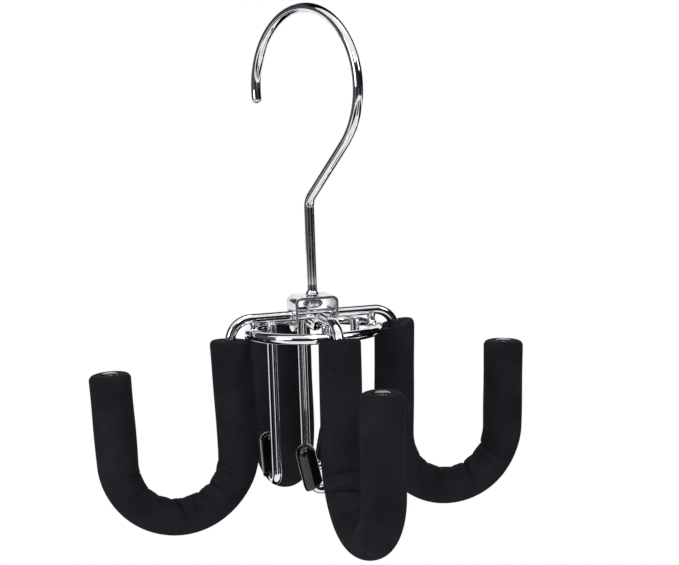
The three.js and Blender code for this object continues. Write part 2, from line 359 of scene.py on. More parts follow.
class NodeSheet:
    """A material or a world under construction: each node is added with what its inputs hold."""

    def __init__(self, name: str, world: bool = False) -> None:
        """Makes a material with a plain shader, or a world with its background.

        Args:
            name: Its name.
            world: Whether it is a world.
        """
        self.owner = (bpy.data.worlds if world else bpy.data.materials).new(name)
        self.owner.use_nodes = True
        self.tree = self.owner.node_tree
        self.shader = self.tree.nodes["Background" if world else "Principled BSDF"]

    def fill(self, node: bpy.types.Node, inputs: dict[str | int, object]) -> None:
        """Joins sockets to a node's inputs, or sets plain values on them.

        Args:
            node: The node.
            inputs: A socket, a number, a vector or a colour for each name or number of an input.
        """
        for key, value in inputs.items():
            if isinstance(value, Socket):
                self.tree.links.new(value, node.inputs[key])
            elif node.inputs[key].type == "RGBA":
                node.inputs[key].default_value = (*value, 1.0)
            else:
                node.inputs[key].default_value = value

    def node(self, kind: str, inputs: dict[str | int, object], **settings: str) -> bpy.types.Node:
        """Adds a node.

        Args:
            kind: Its type.
            inputs: What its inputs hold.
            settings: Properties to set on it first.

        Returns:
            The node.
        """
        made = self.tree.nodes.new(kind)
        for name, value in settings.items():
            setattr(made, name, value)
        self.fill(made, inputs)
        return made

    def finished(self, **inputs: object) -> bpy.types.Material | bpy.types.World:
        """Fills the shader's own inputs, with _ for a space in their names, and returns the whole."""
        self.fill(self.shader, {name.replace("_", " "): value for name, value in inputs.items()})
        return self.owner

    def seen_directly(self) -> Socket:
        """Tells which rays see a surface itself.

        Returns:
            1 for a ray from the camera, off a shiny surface or through glass, else 0.
        """
        rays = self.node("ShaderNodeLightPath", {}).outputs
        seen = rays["Is Camera Ray"]
        for kind in ("Is Glossy Ray", "Is Transmission Ray"):
            seen = self.node("ShaderNodeMath", {0: seen, 1: rays[kind]}, operation="MAXIMUM").outputs[0]
        return seen

    def object_point(self, stretch: Triple = (1.0, 1.0, 1.0)) -> Socket:
        """The place on the object in metres, times a factor for each axis."""
        where = self.node("ShaderNodeTexCoord", {}).outputs["Object"]
        return self.node("ShaderNodeMapping", {"Vector": where, "Scale": stretch}).outputs["Vector"]

    def noise(self, where: Socket, size: float, layers: float) -> Socket:
        """Cloudy noise from 0 to 1: its spots have a rough size in millimetres, and finer layers in them."""
        inputs = {"Vector": where, "Scale": 1.0 / (size * METRES), "Detail": layers}
        return self.node("ShaderNodeTexNoise", inputs).outputs["Fac"]

    def cells(self, where: Socket, size: float) -> Socket:
        """Distance from the middle of the nearest cell, as a share of the cells' size in millimetres."""
        inputs = {"Vector": where, "Scale": 1.0 / (size * METRES)}
        return self.node("ShaderNodeTexVoronoi", inputs).outputs["Distance"]

    def spread(self, value: Socket, span: Span, result: Span = (0.0, 1.0)) -> Socket:
        """Stretches a value from one range to another, and holds it inside."""
        numbers = dict(zip(("From Min", "From Max", "To Min", "To Max"), span + result))
        return self.node("ShaderNodeMapRange", {"Value": value, **numbers}).outputs["Result"]

    def blend(self, share: Socket, one: Colour | Socket, other: Colour) -> Socket:
        """Mixes two colours, the first of which may be a socket, by the share of the other."""
        inputs = {"Factor": share, "A": one, "B": other}
        return self.node("ShaderNodeMix", inputs, data_type="RGBA").outputs["Result"]

    def relief(self, height: Socket, bump: Span, under: Socket | None = None) -> Socket:
        """Turns a height into a bump.

        Args:
            height: From 0 to 1.
            bump: Its depth in millimetres, and its strength from 0 to 1.
            under: Bump that it lies on.

        Returns:
            The normal.
        """
        inputs = {"Height": height, "Distance": bump[0] * METRES, "Strength": bump[1]}
        if under is not None:
            inputs["Normal"] = under
        return self.node("ShaderNodeBump", inputs).outputs["Normal"]


@dataclass(frozen=True)
class ChromedWire:
    """Bright chrome over drawn wire: near mirror, with a faint haze in spots and a few fine pits."""

    bright: Colour = (0.83, 0.84, 0.86)
    dull: Colour = (0.70, 0.71, 0.74)
    dull_span: Span = (0.45, 0.75)
    hazy_span: Span = (0.35, 0.75)
    roughness: Span = (0.035, 0.11)
    spot: float = 6.0
    pit: float = 0.8
    pit_span: Span = (0.0, 0.12)
    pit_bump: Span = (0.004, 0.2)
    ripple: float = 2.4
    ripple_bump: Span = (0.01, 0.1)

    def make(self) -> bpy.types.Material:
        """Builds the material.

        Returns:
            The material.
        """
        sheet = NodeSheet("chromed_wire")
        where = sheet.object_point()
        haze = sheet.noise(where, self.spot, layers=4.0)
        ripple = sheet.relief(sheet.noise(where, self.ripple, layers=2.0), self.ripple_bump)
        pits = sheet.spread(sheet.cells(where, self.pit), self.pit_span)
        return sheet.finished(
            Base_Color=sheet.blend(sheet.spread(haze, self.dull_span), self.bright, self.dull),
            Roughness=sheet.spread(haze, self.hazy_span, self.roughness),
            Normal=sheet.relief(pits, self.pit_bump, ripple),
            Metallic=1.0,
        )


@dataclass(frozen=True)
class PlatedSheet:
    """Plated sheet steel: softer shine than the wire, with a rolled grain across the fold."""

    light: Colour = (0.80, 0.80, 0.81)
    grey: Colour = (0.62, 0.62, 0.64)
    grey_span: Span = (0.35, 0.7)
    rough_span: Span = (0.3, 0.7)
    roughness: Span = (0.10, 0.26)
    grain: float = 0.35
    grain_stretch: Triple = (1.0, 0.12, 1.0)
    grain_bump: Span = (0.01, 0.4)
    cloud: float = 3.5
    cloud_bump: Span = (0.15, 0.35)

    def make(self) -> bpy.types.Material:
        """Builds the material.

        Returns:
            The material.
        """
        sheet = NodeSheet("plated_sheet")
        rolled = sheet.noise(sheet.object_point(self.grain_stretch), self.grain, layers=3.0)
        cloud = sheet.noise(sheet.object_point(), self.cloud, layers=4.0)
        waves = sheet.relief(cloud, self.cloud_bump)
        return sheet.finished(
            Base_Color=sheet.blend(sheet.spread(cloud, self.grey_span), self.light, self.grey),
            Roughness=sheet.spread(cloud, self.rough_span, self.roughness),
            Normal=sheet.relief(rolled, self.grain_bump, waves),
            Metallic=1.0,
        )


@dataclass(frozen=True)
class BlackFoam:
    """Closed-cell foam: near-black, matt, with fine cells, faint clouds, a few pale specks of dust, and painted
    shade that darkens its creases and wrinkles.
    """

    deep: Colour = (0.0080, 0.0080, 0.0112)
    # The next two are painted shade: the near-black colour that creases and wrinkles are darkened towards, and
    # the most of it that is mixed in.
    worn: Colour = (0.0140, 0.0140, 0.0185)
    folded: Colour = (0.002, 0.002, 0.0025)
    crease_shade_share: float = 0.9
    dust: Colour = (0.16, 0.16, 0.17)
    speck: float = 7.0
    speck_span: Span = (0.012, 0.03)
    cell: float = 0.28
    cell_bump: Span = (0.06, 0.5)
    grain: float = 0.9
    grain_bump: Span = (0.12, 0.45)
    cloud: float = 14.0
    noise_span: Span = (0.3, 0.7)
    roughness: Span = (0.78, 0.96)
    shine: float = 0.13

    def make(self) -> bpy.types.Material:
        """Builds the material.

        Returns:
            The material.
        """
        sheet = NodeSheet("black_foam")
        where = sheet.object_point()
        cloud = sheet.noise(where, self.cloud, layers=4.0)
        grain = sheet.noise(where, self.grain, layers=5.0)
        body = sheet.blend(sheet.spread(cloud, self.noise_span), self.deep, self.worn)
        # Painted shade: the fold attribute, which is how deep in a crease or wrinkle a point lies, darkens the
        # colour towards near-black.
        fold = sheet.node("ShaderNodeAttribute", {}, attribute_name="fold").outputs["Fac"]
        shaded = sheet.blend(sheet.spread(fold, (0.0, 1.0), (0.0, self.crease_shade_share)), body, self.folded)
        specks = sheet.spread(sheet.cells(where, self.speck), self.speck_span, (1.0, 0.0))
        cells = sheet.relief(sheet.cells(where, self.cell), self.cell_bump)
        return sheet.finished(
            Base_Color=sheet.blend(specks, shaded, self.dust),
            Roughness=sheet.spread(grain, self.noise_span, self.roughness),
            Normal=sheet.relief(grain, self.grain_bump, cells),
            Specular_IOR_Level=self.shine,
        )


@dataclass(frozen=True)
class GlossVinyl:
    """Dipped black vinyl: wet gloss, with a slow ripple and a few duller smears."""

    black: Colour = (0.0035, 0.0035, 0.0040)
    smeared: Colour = (0.0080, 0.0080, 0.0090)
    smear: float = 3.0
    smear_span: Span = (0.4, 0.7)
    rough_span: Span = (0.35, 0.75)
    roughness: Span = (0.05, 0.16)
    ripple: float = 5.0
    ripple_bump: Span = (0.10, 0.3)
    shine: float = 0.6

    def make(self) -> bpy.types.Material:
        """Builds the material.

        Returns:
            The material.
        """
        sheet = NodeSheet("gloss_vinyl")
        where = sheet.object_point()
        smear = sheet.noise(where, self.smear, layers=4.0)
        return sheet.finished(
            Base_Color=sheet.blend(sheet.spread(smear, self.smear_span), self.black, self.smeared),
            Roughness=sheet.spread(smear, self.rough_span, self.roughness),
            Normal=sheet.relief(sheet.noise(where, self.ripple, layers=1.0), self.ripple_bump),
            Specular_IOR_Level=self.shine,
        )


@dataclass(frozen=True)
class PaleStage:
    """The finish of the floor and the flags: a plain matt colour. The floor is seen as pure white."""

    colour: Colour = (0.97, 0.97, 0.97)
    seen_white: bool = False

    def make(self, name: str) -> bpy.types.Material:
        """Builds the material.

        Args:
            name: Its name.

        Returns:
            The material.
        """
        sheet = NodeSheet(name)
        if self.seen_white:
            glow = sheet.node("ShaderNodeEmission", {}).outputs[0]
            inputs = {0: sheet.seen_directly(), 1: sheet.shader.outputs[0], 2: glow}
            mixed = sheet.node("ShaderNodeMixShader", inputs).outputs[0]
            sheet.fill(sheet.tree.nodes["Material Output"], {"Surface": mixed})
        return sheet.finished(Base_Color=self.colour, Roughness=1.0, Specular_IOR_Level=0.0)


FINISHES = {
    Slot.CHROME: ChromedWire(),
    Slot.SHEET: PlatedSheet(),
    Slot.FOAM: BlackFoam(),
    Slot.VINYL: GlossVinyl(),
}


@dataclass
class Assembly:
    """A sub-assembly of the hanger, which dresses its pieces from one set of materials."""

    materials: dict[Slot, bpy.types.Material]

    def dress(self, piece: Piece, slot: Slot, *nodes: str, body: Body = Body.SPIDER) -> None:
        """Gives a piece its material and its place in the frame, and reports it.

        Args:
            piece: The piece.
            slot: Slot of the record that it takes its finish from.
            nodes: Solids that it replaces.
            body: Body that it rides on.
        """
        piece.data.materials.clear()
        piece.data.materials.append(self.materials[slot])
        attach(piece, body.value)
        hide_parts(*nodes)
        log.info("%s: %d faces", piece.name, len(piece.data.polygons))


@dataclass
class HangingHook(Assembly):
    """The wire that hangs the whole: a headed stem, a kink and a round crown.

    Taper and collar are pairs. The wire is bare at the lengths of neck, and from clear on.
    """

    wire: float = 4.8
    foot: float = -137.4
    stem: float = 47.68
    kink_turn: float = -45.05
    kink_radius: float = 8.0
    rise: float = 33.42
    crown_turn: float = 235.05
    crown_radius: float = 36.8
    turn: float = -66.5
    head_radius: float = 4.8
    head_round: float = 2.6
    head_rows: int = 12
    taper: Pairs = ((2.75, 4.82), (2.95, 4.78), (3.2, 4.6), (4.35, 3.62), (4.6, 3.4), (4.7, 3.2))
    neck: tuple[float, ...] = (4.7, 4.9, 6.5, 6.7)
    collar_base: Pairs = ((6.7, 2.95), (6.78, 3.1), (6.95, 3.17))
    collar_top: Pairs = ((7.45, 3.15), (7.65, 3.08), (8.35, 2.5), (8.6, 2.42))
    clear: float = 8.9
    tip_round: float = 2.0
    row_step: float = 4.0
    row_turn: float = 1.0
    sides: int = 72

    def outline(self, line: CentreLine) -> np.ndarray:
        """Shapes the wire: the head's dome and taper, the collar above the plate, the wire, the round tip.

        Args:
            line: The centre line.

        Returns:
            The pairs.
        """
        wire = self.wire / 2.0
        dome = rounded_start(self.head_radius, self.head_round, self.head_rows)
        neck = [(x, wire) for x in self.neck]
        collar = [*self.collar_base, *self.collar_top, (self.clear, wire)]
        rows = line.stations(self.row_step, self.row_turn)
        first = np.concatenate([dome, self.taper, neck, collar])
        return merged_profile(rows, wire, first, rounded_end(line.total, wire, self.tip_round))

    def build(self) -> None:
        """Builds and dresses the hook."""
        line = CentreLine((0.0, self.foot), 90.0).straight(self.stem)
        line.bend(self.kink_radius, self.kink_turn).straight(self.rise)
        line.bend(self.crown_radius, self.crown_turn)
        piece = swept("hook_wire", line, Plane.upright(self.turn), self.outline(line), self.sides)
        self.dress(piece, Slot.CHROME, "hanging_hook", body=Body.HOOK)


@dataclass
class SwivelBracket(Assembly):
    """The folded sheet saddle that the stem turns in, with a hole for the stem and one in each flank."""

    width: float = 21.0
    depth: float = 15.0
    sheet: float = 1.4
    top: float = -131.0
    wire_height: float = -140.1
    corner: float = 2.9
    bore: float = 2.7
    bore_sides: int = 48
    stem_cut: float = 4.0
    edge: float = 0.28
    edge_share: float = 0.8
    corner_steps: int = 5
    round_rows: int = 15
    row_step: float = 1.2
    row_turn: float = 9.0

    def half_width(self, s: np.ndarray, total: float) -> np.ndarray:
        """Half the strip's width: half the depth R, but a half round at each end, sqrt(R^2 - (R - s)^2).

        Args:
            s: Lengths along the strip.
            total: Its length.

        Returns:
            Half widths, at least a tenth of a millimetre.
        """
        half = self.depth / 2.0
        from_end = np.minimum(np.minimum(s, total - s), half)
        return np.sqrt(np.maximum(half**2 - (half - from_end) ** 2, 0.01))

    def section(self, half_widths: np.ndarray) -> tuple[np.ndarray, np.ndarray]:
        """Rounded oblong round the strip: the middle of each corner plus edge * (cos t, sin t).

        Args:
            half_widths: Half the width of each row.

        Returns:
            Distances through the sheet, and distances across the strip, as rows by sides.
        """
        edge = np.minimum(self.edge, half_widths * self.edge_share)[:, None]
        count = self.corner_steps + 1
        quarters = [np.linspace(q, q + 90.0, count) for q in (0.0, 90.0, 180.0, 270.0)]
        turn = np.radians(np.concatenate(quarters))[None, :]
        thick_sign = np.repeat([1.0, -1.0, -1.0, 1.0], count)[None, :]
        wide_sign = np.repeat([1.0, 1.0, -1.0, -1.0], count)[None, :]
        through = thick_sign * (self.sheet / 2.0 - edge) + edge * np.cos(turn)
        return through, wide_sign * (half_widths[:, None] - edge) + edge * np.sin(turn)

    def strip(self) -> Piece:
        """Makes the folded strip: its section carried up one flank, over the plate and down the other.

        Returns:
            The strip.
        """
        mid = self.width / 2.0 - self.sheet / 2.0
        bend = self.corner - self.sheet / 2.0
        low = self.wire_height - self.depth / 2.0
        flank = self.top - self.sheet / 2.0 - bend - low
        line = CentreLine((-mid, low), 90.0).straight(flank).bend(bend, -90.0)
        line.straight(2.0 * (mid - bend)).bend(bend, -90.0).straight(flank)
        half = self.depth / 2.0
        end_rows = half * (1.0 - np.cos(quarter(self.round_rows)))
        body = line.stations(self.row_step, self.row_turn)
        clear = half + 2.0 * CLOSEST_ROWS
        inside = body[(body > clear) & (body < line.total - clear)]
        s = np.concatenate([end_rows, inside, (line.total - end_rows)[::-1]])
        through, across = self.section(self.half_width(s, line.total))
        grid = Plane.upright(0.0).place(line.beside(s, through), across)
        return skin("bracket_strip", grid, Ends.POINTS)

    def bored(self, piece: Piece) -> None:
        """Cuts the stem's hole and the wire's two holes, each with a round bar, and keeps the cut mesh.

        Args:
            piece: The strip.
        """
        upright = CentreLine((0.0, self.top - self.stem_cut), 90.0).straight(2.0 * self.stem_cut)
        level = CentreLine((-self.width, self.wire_height), 0.0).straight(2.0 * self.width)
        for name, line in (("stem", upright), ("wire", level)):
            pairs = np.array([(0.0, self.bore), (line.total, self.bore)])
            bar = swept(f"bore_{name}", line, Plane.upright(0.0), pairs, self.bore_sides)
            cut = piece.modifiers.new(bar.name, "BOOLEAN")
            cut.operation, cut.object, cut.solver = "DIFFERENCE", bar, "EXACT"
            evaluated = piece.evaluated_get(bpy.context.evaluated_depsgraph_get())
            mesh = bpy.data.meshes.new_from_object(evaluated)
            piece.modifiers.clear()
            piece.data = mesh
            bpy.data.objects.remove(bar)

    def build(self) -> None:
        """Builds and dresses the bracket."""
        piece = self.strip()
        self.bored(piece)
        piece.name = "bracket_saddle"
        self.dress(piece, Slot.SHEET, "swivel_bracket")


@dataclass(frozen=True)
class ArmShape:
    """The line of one arm with its padded hook, from the ring outwards."""

    wire: float = 4.8
    height: float = -140.1
    bend_start: float = 30.5
    bend_radius: float = 10.0
    drop_turn: float = -92.0
    inner_leg: float = 50.3
    hook_radius: float = 28.5
    outer_leg: float = 42.4
    tip_gap: float = 1.5
    lead: float = 1.0

    def line(self, start: float) -> CentreLine:
        """The centre line from a point of the level arm on, so far out."""
        return self.finish(CentreLine((start, self.height), 0.0).straight(self.bend_start - start))

    def finish(self, made: CentreLine) -> CentreLine:
        """Adds the bend, both legs and the hook to a line that has reached the bend, and returns it."""
        made.bend(self.bend_radius, self.drop_turn).straight(self.inner_leg)
        return made.bend(self.hook_radius, 180.0).straight(self.outer_leg)

    def outer_line(self) -> CentreLine:
        """The centre line from just before the bend, which foam and caps are measured along."""
        return self.line(self.bend_start - self.lead)

    def after_turn(self, angle: float) -> float:
        """Length along the outer line at which the bend has turned by an angle."""
        return self.lead + math.radians(angle) * self.bend_radius


@dataclass
class CrossWires(Assembly):
    """The two wires that cross at the hub. Each runs from one padded hook's tip to the other's."""

    shape: ArmShape = ArmShape()
    saddle_height: float = -145.2
    saddle_half_flat: float = 3.0
    saddle_radius: float = 8.0
    saddle_turn: float = 47.06
    tip_round: float = 1.2
    row_step: float = 4.0
    row_turn: float = 2.0
    sides: int = 32

    def lower_half(self) -> CentreLine:
        """Half of the wire that dips under the other, from the middle of its dip outwards.

        Returns:
            The half line.
        """
        made = CentreLine((0.0, self.saddle_height), 0.0).straight(self.saddle_half_flat)
        made.bend(self.saddle_radius, self.saddle_turn).bend(self.saddle_radius, -self.saddle_turn)
        reached = made.at(np.array([made.total]))[0][0, 0]
        return self.shape.finish(made.straight(self.shape.bend_start - reached))

    def whole(self, half: CentreLine) -> CentreLine:
        """A line with its mirror image before it: the half is walked back from its tip, then forth.

        Args:
            half: The half line, which starts level on the axis.

        Returns:
            The whole line, shorter at each tip by the gap under the cap.
        """
        lengths = list(half.lengths)
        lengths[-1] -= self.shape.tip_gap
        tip, heading = half.at(np.array([half.total - self.shape.tip_gap]))
        made = CentreLine((-float(tip[0, 0]), float(tip[0, 1])), math.degrees(-heading[0]))
        made.lengths = lengths[::-1] + lengths
        made.curvatures = half.curvatures[::-1] + half.curvatures
        return made

    def wire_piece(self, name: str, half: CentreLine, side: Side) -> Piece:
        """A wire with round tips along a whole line.

        Args:
            name: Name of the piece.
            half: Its half line.
            side: Arm that the half line lies on.

        Returns:
            The piece, undressed.
        """
        line, radius = self.whole(half), self.shape.wire / 2.0
        tip = rounded_start(radius, self.tip_round)
        end = rounded_end(line.total, radius, self.tip_round)
        pairs = merged_profile(line.stations(self.row_step, self.row_turn), radius, tip, end)
        return swept(name, line, Plane.upright(side.value), pairs, self.sides)

    def build(self) -> None:
        """Builds and dresses both wires."""
        upper = self.wire_piece("arm_wire_across", self.shape.line(0.0), Side.RIGHT)
        lower = self.wire_piece("arm_wire_along", self.lower_half(), Side.REAR)
        self.dress(upper, Slot.CHROME, "upper_cross_wire")
        self.dress(lower, Slot.CHROME, "lower_cross_wire")


@dataclass
class BraceRing(Assembly):
    """The ring under the arms, with a bead of weld up to each of them."""

    radius: float = 30.5
    wire: float = 5.0
    height: float = -147.3
    sides: int = 48
    steps: int = 360
    bead_reach: float = 28.9
    bead_width: float = 2.9
    bead_waist: float = 1.75
    bead_power: float = 2.5
    bead_wave: float = 0.08
    bead_low: float = -146.4
    bead_high: float = -141.3
    bead_rows: int = 24
    bead_tip: float = 0.03

    def hoop(self) -> Piece:
        """The ring itself: a round section carried round a circle.

        Returns:
            The ring.
        """
        line = CentreLine((self.radius, 0.0), 90.0).bend(self.radius, 360.0)
        plane = Plane((1.0, 0.0, 0.0), (0.0, 1.0, 0.0), (0.0, 0.0, self.height))
        s = line.total * np.arange(self.steps) / self.steps
        grid = carried_round(line, plane, s, np.full(self.steps, self.wire / 2.0), self.sides)
        return skin("ring_hoop", grid, Ends.LOOP)

    def bead(self, side: Side) -> Piece:
        """A waisted lump of weld: r = waist + (width - waist) |2 t - 1|^power, with two slow waves round it.

        Args:
            side: The arm it belongs to.

        Returns:
            The bead.
        """
        tall = self.bead_high - self.bead_low
        t = np.linspace(0.0, 1.0, self.bead_rows)
        swing = np.sin(2.0 * around(self.sides)[None, :] + side.value) * np.cos(5.0 * t)[:, None]
        waisted = np.abs(2.0 * t - 1.0) ** self.bead_power
        outline = self.bead_waist + (self.bead_width - self.bead_waist) * waisted
        rows = [0, *range(self.bead_rows), -1]
        radii = np.concatenate([[self.bead_tip], outline, [self.bead_tip]])[:, None]
        line = CentreLine((self.bead_reach, self.bead_low), 90.0).straight(tall)
        wavy = radii * (1.0 + self.bead_wave * swing)[rows]
        grid = carried_round(line, Plane.upright(side.value), tall * t[rows], wavy, self.sides)
        return skin(f"ring_weld_{side.label}", grid, Ends.POINTS)

    def build(self) -> None:
        """Builds and dresses the ring and its beads."""
        self.dress(self.hoop(), Slot.CHROME, "brace_ring")
        for side in Side:
            self.dress(self.bead(side), Slot.CHROME)


@dataclass(frozen=True)
class Crease:
    """One crease on the inside of a bend: its place, its slant in 45 degrees and its reach in degrees."""

    place: float
    depth: float
    slant: float
    reach: float


@dataclass(frozen=True)
class SleeveForm:
    """What differs from sleeve to sleeve: the slope of its top, how it is drawn in, and its creases."""

    seed: int
    top_tilt: float
    drawn_out: float
    drawn_in: float
    creases: tuple[Crease, ...]


@dataclass(frozen=True)
class Wrinkles:
    """The fine wrinkles beside the creases: how many, and the ranges that their sizes are drawn from."""

    count: int = 64
    place: Span = (6.0, 172.0)
    middle: Span = (18.0, 62.0)
    reach: Span = (16.0, 34.0)
    slant: Span = (-4.0, 4.0)
    depth: Span = (0.10, 0.34)
    width: float = 0.45
    # shade: how strongly a wrinkle's depth darkens the foam's colour, as painted shade.
    shade: float = 2.4


@dataclass
class FoamSleeve(Assembly):
    """The foam tube on one padded hook, drawn thinner in its bend and creased on the bend's inside."""

    side: Side
    form: SleeveForm
    shape: ArmShape = ArmShape()
    wrinkles: Wrinkles = Wrinkles()
    radius: float = 9.7
    bore: float = 2.7
    bore_rows: int = 48
    bore_ends: Span = (1.0, 2.0)
    face_rows: int = 4
    cap_bore: float = 4.2
    cap_depth: float = 12.3
    cap_lip: Span = (0.1, 0.4)
    cap_low_row: float = 4.0
    top_angle: float = 84.0
    top_reach: float = 12.0
    top_power: float = 0.7
    top_round: float = 1.5
    end_round: float = 2.6
    edge: float = 0.3
    lobe: float = 0.4
    lobe_ends: Span = (-8.0, 188.0)
    lobe_gap: float = 25.0
    lobe_most: float = 1.5
    ease_ends: Span = (30.0, 162.0)
    ease_width: float = 8.0
    inside_power: float = 1.3
    outside_power: float = 1.5
    crease_width: float = 1.0
    slant_span: float = 45.0
    wave: Triple = (0.19, 2.0, 0.08)
    long_wave: Triple = (0.083, 3.0, 0.07)
    overall: float = -0.1
    row_step: float = 1.0
    row_turn: float = 0.9
    sides: int = 112

    def wall(self, start: float, total: float, rows: np.ndarray) -> np.ndarray:
        """The closed outline of the tube's wall: outside, tip, cap bore, wire bore and top.

        Args:
            start: Length along the arm's line at which the foam starts.
            total: Length at which it ends.
            rows: Lengths of the outer rows.

        Returns:
            The pairs.
        """
        top = rounded_rim(start, self.top_round, self.radius)
        tip = rounded_rim(total, -self.end_round, self.radius)[::-1]
        outer = merged_profile(rows, self.radius, top, tip)
        top_rim, tip_rim = outer[0, 1], outer[-1, 1]
        shares = [k / self.face_rows for k in range(1, self.face_rows)]
        tip_face = [(total, tip_rim - (tip_rim - self.cap_bore) * share) for share in shares]
        (slope, lip_end), (first, last) = self.cap_lip, self.bore_ends
        lip = [(total - slope, self.cap_bore + slope), (total - lip_end, self.cap_bore)]
        step = total - self.cap_depth
        cap_hole = [(step + self.cap_low_row, self.cap_bore), (step, self.cap_bore), (step, self.bore)]
        bore = [(x, self.bore) for x in np.linspace(step - last, start + first, self.bore_rows)]
        top_face = [(start + self.edge, self.bore), (start, self.bore + self.edge)]
        top_face += [(start, self.bore + (top_rim - self.bore) * share) for share in shares]
        return np.concatenate([outer, tip_face + lip + cap_hole + bore + top_face])

    def lobes(self, angle: np.ndarray) -> np.ndarray:
        """Swell between creases, 4 f (1 - f) over the fraction f of the way, higher on a wide lobe.

        Args:
            angle: Degrees along the bend.

        Returns:
            Swell in millimetres.
        """
        marks = np.array([self.lobe_ends[0], *(c.place for c in self.form.creases), self.lobe_ends[1]])
        k = np.clip(np.searchsorted(marks, angle, side="right") - 1, 0, len(marks) - 2)
        gap = marks[k + 1] - marks[k]
        f = np.clip((angle - marks[k]) / gap, 0.0, 1.0)
        return self.lobe * np.minimum((gap / self.lobe_gap) ** 2, self.lobe_most) * 4.0 * f * (1.0 - f)

    def groove(self, off: np.ndarray, across: np.ndarray, slant: float, width: float) -> np.ndarray:
        """A long groove: exp(-|distance| / width), with the distance in millimetres along the bend's middle.

        Args:
            off: Degrees along the bend from its middle.
            across: Degrees round the tube from its middle.
            slant: Degrees along the bend that it moves with each slant_span round the tube.
            width: Width in millimetres.

        Returns:
            Its depth, from 0 to 1.
        """
        scale = math.radians(self.shape.hook_radius)
        return np.exp(-(np.abs(off - slant * across / self.slant_span) * scale) / width)

    def change(self, s: np.ndarray, bend_at: float) -> tuple[np.ndarray, np.ndarray]:
        """How the bent foam differs from a plain tube, for each row and side, with t = 0 inside the bend.

        The outside is drawn in by drawn_out cos^1.5 t, the inside by drawn_in cos^1.3 t, less the lobes, both
        eased in and out along the bend. Each crease is a groove that fades by exp(-(across / reach)^4) round
        the tube, and each wrinkle a finer and shorter one, by exp(-(across / reach)^2). Two slow waves
        sin(rate s) cos(turns t) height run over the whole.

        Args:
            s: Length along the arm's line of each row.
            bend_at: Length at which the bend starts.

        Returns:
            The change of radius in millimetres, and how deep in a crease the point is, from 0 to 1, by which
            the foam's colour is darkened as painted shade.
        """
        t = around(self.sides)[None, :]
        side_angle = np.degrees(np.arctan2(np.sin(t), np.cos(t)))
        angle = np.degrees((s - bend_at) / self.shape.hook_radius)[:, None]
        first, last = self.ease_ends
        ease = 1.0 / (1.0 + np.exp(-(angle - first) / self.ease_width))
        ease = ease / (1.0 + np.exp((angle - last) / self.ease_width))
        inside = np.maximum(np.cos(t), 0.0) ** self.inside_power
        outside = np.maximum(-np.cos(t), 0.0) ** self.outside_power
        change = -self.form.drawn_out * ease * outside
        change = change + inside * ease * (self.lobes(angle[:, 0])[:, None] - self.form.drawn_in)
        fold = np.zeros_like(change)
        for crease in self.form.creases:
            groove = self.groove(angle - crease.place, side_angle, crease.slant, self.crease_width)
            groove = groove * np.exp(-((side_angle / crease.reach) ** 4))
            change -= crease.depth * groove
            fold = np.maximum(fold, groove * min(crease.depth, 1.0))
        maker = np.random.default_rng(self.form.seed)
        for _ in range(self.wrinkles.count):
            place = maker.uniform(*self.wrinkles.place)
            middle = maker.uniform(*self.wrinkles.middle) * maker.choice([-1.0, 1.0])
            reach = maker.uniform(*self.wrinkles.reach)
            slant = maker.uniform(*self.wrinkles.slant)
            depth = maker.uniform(*self.wrinkles.depth)
            across = side_angle - middle
            groove = self.groove(angle - place, across, slant, self.wrinkles.width)
            groove = groove * np.exp(-((across / reach) ** 2))
            change -= depth * groove
            fold = np.maximum(fold, self.wrinkles.shade * depth * groove)
        seed, (rate, turns, height) = self.form.seed, self.wave
        slow = np.sin(rate * s[:, None] + seed) * np.cos(turns * t + seed) * height
        rate, turns, height = self.long_wave
        slow += np.sin(rate * s[:, None] + 2.0 * seed) * np.cos(turns * t) * height
        return change + slow + self.overall, fold

    def build(self) -> None:
        """Builds and dresses the sleeve.

        Its top is lifted by r tan(tilt) (1/2 + cos t / 2)^power, fading down the leg, so that the side
        towards the ring keeps its height. The bores stay round: the change fades out inside the wall.
        """
        line = self.shape.outer_line()
        start = self.shape.after_turn(self.top_angle)
        bend_at = self.shape.after_turn(-self.shape.drop_turn) + self.shape.inner_leg
        pairs = self.wall(start, line.total, line.stations(self.row_step, self.row_turn))
        s, r = pairs[:, 0], pairs[:, 1:]
        change, fold = self.change(s, bend_at)
        share = np.clip((r - self.cap_bore) / (self.radius - self.cap_bore), 0.0, 1.0)
        grid = carried_round(line, Plane.upright(self.side.value), s, r + change * share, self.sides)
        near_top = np.clip(1.0 - (s - start) / self.top_reach, 0.0, 1.0)[:, None]
        lean = (0.5 + 0.5 * np.cos(around(self.sides))) ** self.top_power
        grid[..., 2] += math.tan(math.radians(self.form.top_tilt)) * r * lean * near_top**2
        piece = skin(f"sleeve_{self.side.label}", grid, Ends.LOOP)
        # The fold attribute is painted shade: the foam's colour is darkened where it is high.
        layer = piece.data.attributes.new("fold", "FLOAT", "POINT")
        layer.data.foreach_set("value", (fold * share).astype(np.float32).ravel())
        self.dress(piece, Slot.FOAM, f"foam_sleeve_{self.side.label}")


